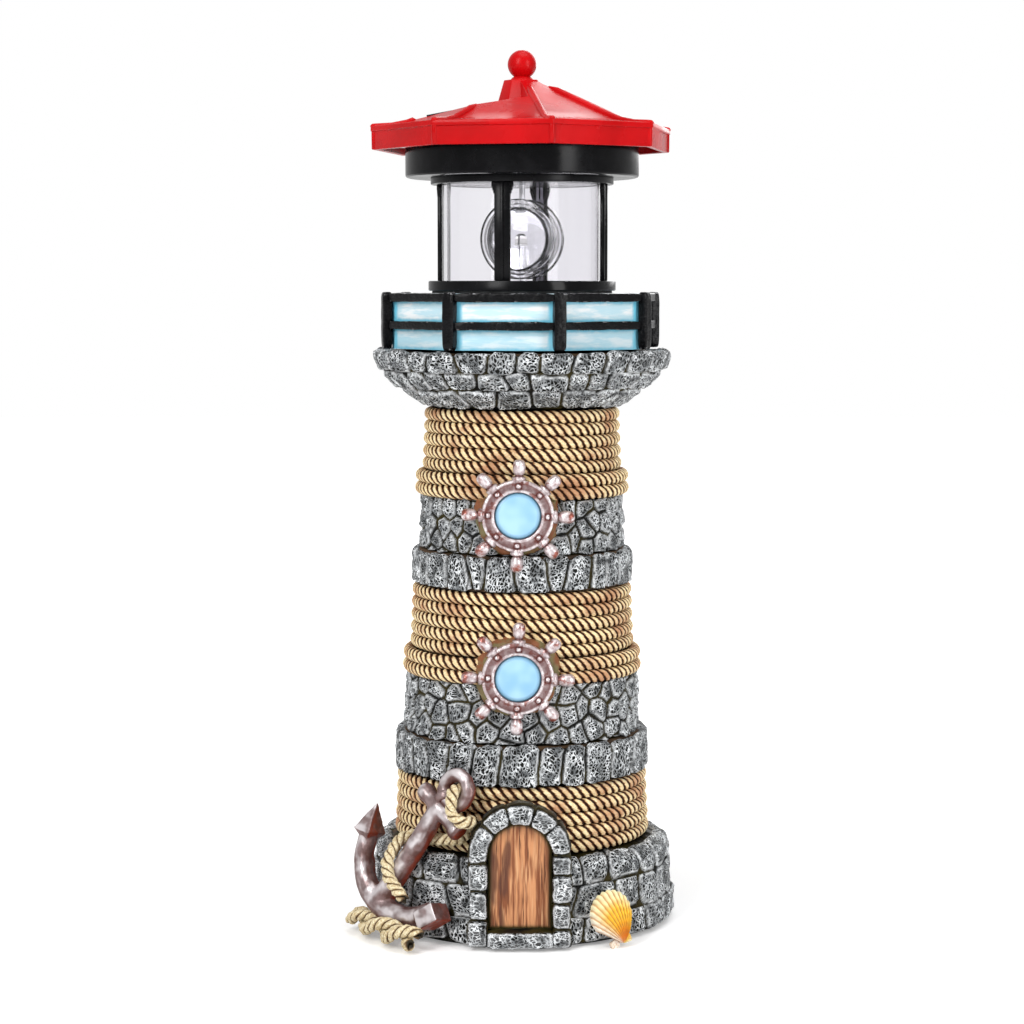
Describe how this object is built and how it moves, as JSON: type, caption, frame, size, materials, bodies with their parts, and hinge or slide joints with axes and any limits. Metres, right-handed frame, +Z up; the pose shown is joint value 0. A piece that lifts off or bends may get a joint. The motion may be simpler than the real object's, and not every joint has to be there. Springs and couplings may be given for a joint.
{
  "type": "garden lighthouse ornament",
  "caption": "Cast garden lighthouse with rope wraps, a panelled gallery and a drop-in solar lantern whose clear lens turns under a red roof.",
  "frame": {"origin": "centre of the foot pad's underside, on the tower's axis", "axes": "+Z up the tower, -Y towards the side with the door, +X to the right as the door is faced"},
  "size_m": [0.1383, 0.1377, 0.36],
  "materials": {
    "resin_stone": "cast polyresin painted grey with white dry-brushed edges and dark joints",
    "rope_paint": "cast polyresin painted as straw rope with brown washes",
    "door_paint": "cast polyresin painted as orange-brown planks",
    "wheel_paint": "cast polyresin painted silvery pink with a red-brown wash",
    "blue_lens": "pale blue disc",
    "anchor_paint": "cast polyresin painted dark red-brown with silver highlights",
    "shell_paint": "cast polyresin painted white, yellow and orange",
    "gallery_paint": "cast polyresin painted pale blue-white",
    "black_paint": "cast polyresin painted gloss black, worn grey on the edges",
    "black_plastic": "glossy moulded black plastic",
    "red_plastic": "glossy moulded red plastic",
    "clear_plastic": "clear moulded plastic",
    "grey_plastic": "grey moulded plastic",
    "white_plastic": "white moulded plastic",
    "foot_foam": "soft foam pad",
    "gasket_rubber": "moulded rubber",
    "solar_silicon": "solar cell under clear resin",
    "steel": "plated steel",
    "brass": "brass",
    "cell_wrap": "printed sleeve of a rechargeable cell, left plain",
    "board_green": "circuit board",
    "lead_sleeve": "pale insulated lead",
    "led_dome": "warm white LED"
  },
  "bodies": {
    "tower": {"foot_pad": "foot_foam", "tower_casting": "resin_stone", "rope_wrap_upper": "rope_paint", "rope_wrap_middle": "rope_paint", "rope_wrap_lower": "rope_paint", "door_panel": "door_paint", "door_surround": "resin_stone", "porthole_wheel_upper": "wheel_paint", "porthole_wheel_lower": "wheel_paint", "porthole_lens_upper": "blue_lens", "porthole_lens_lower": "blue_lens", "anchor": "anchor_paint", "anchor_shackle": "anchor_paint", "anchor_rope": "rope_paint", "ground_rope": "rope_paint", "scallop_shell": "shell_paint", "gallery_drum": "gallery_paint", "gallery_railing": "black_paint"},
    "swivel": {"seating_gasket": "gasket_rubber"},
    "head": {"base_housing": "black_plastic", "base_ring": "black_plastic", "housing_screws": "steel", "battery": "cell_wrap", "battery_contact": "steel", "battery_spring": "steel", "cover_pin": "steel", "switch_body": "grey_plastic", "clear_cylinder": "clear_plastic", "lantern_columns": "black_plastic", "top_ring": "black_plastic", "led_post": "white_plastic", "beacon_led": "led_dome", "column_leads": "lead_sleeve", "idler_post": "steel", "motor": "steel", "drive_plate": "grey_plastic", "drive_screws": "steel", "collar_housing": "black_plastic", "circuit_board": "board_green", "soffit_plate": "grey_plastic", "soffit_screws": "steel", "roof": "red_plastic", "finial_ball": "red_plastic", "solar_frame": "black_plastic", "solar_cell": "solar_silicon"},
    "cover": {"battery_cover": "black_plastic"},
    "knob": {"switch_knob": "white_plastic"},
    "beacon": {"lens_front": "clear_plastic", "lens_rear": "clear_plastic", "lens_band": "clear_plastic", "lens_spindle": "steel", "spindle_gear": "white_plastic"},
    "idler": {"idler_gear": "white_plastic"},
    "pinion": {"drive_pinion": "brass", "motor_shaft": "steel"}
  },
  "joints": [
    {"name": "head_turn", "type": "hinge", "parent": "tower", "child": "swivel", "pos_m": [0, 0, 0.2606], "axis": [0, 0, 1], "continuous": true},
    {"name": "head_lift", "type": "slide", "parent": "swivel", "child": "head", "axis": [0, 0, 1], "range_m": [0, 0.06]},
    {"name": "beacon_spin", "type": "hinge", "parent": "head", "child": "beacon", "pos_m": [0, 0, 0.2827], "axis": [0, 0, 1], "continuous": true},
    {"name": "idler_spin", "type": "hinge", "parent": "head", "child": "idler", "pos_m": [0.01777, 0.01491, 0.312], "axis": [0, 0, 1], "continuous": true},
    {"name": "pinion_spin", "type": "hinge", "parent": "head", "child": "pinion", "pos_m": [0.02703, 0.00388, 0.312], "axis": [0, 0, 1], "continuous": true},
    {"name": "cover_swing", "type": "hinge", "parent": "head", "child": "cover", "pos_m": [0, 0.0095, 0.2247], "axis": [1, 0, 0], "range_deg": [0, 90]},
    {"name": "switch_slide", "type": "slide", "parent": "head", "child": "knob", "axis": [1, 0, 0], "range_m": [0, 0.003]}
  ],
  "couplings": [
    {"joint": "idler_spin", "follows": "beacon_spin", "ratio": -1.6364},
    {"joint": "pinion_spin", "follows": "beacon_spin", "ratio": 2.5714}
  ]
}
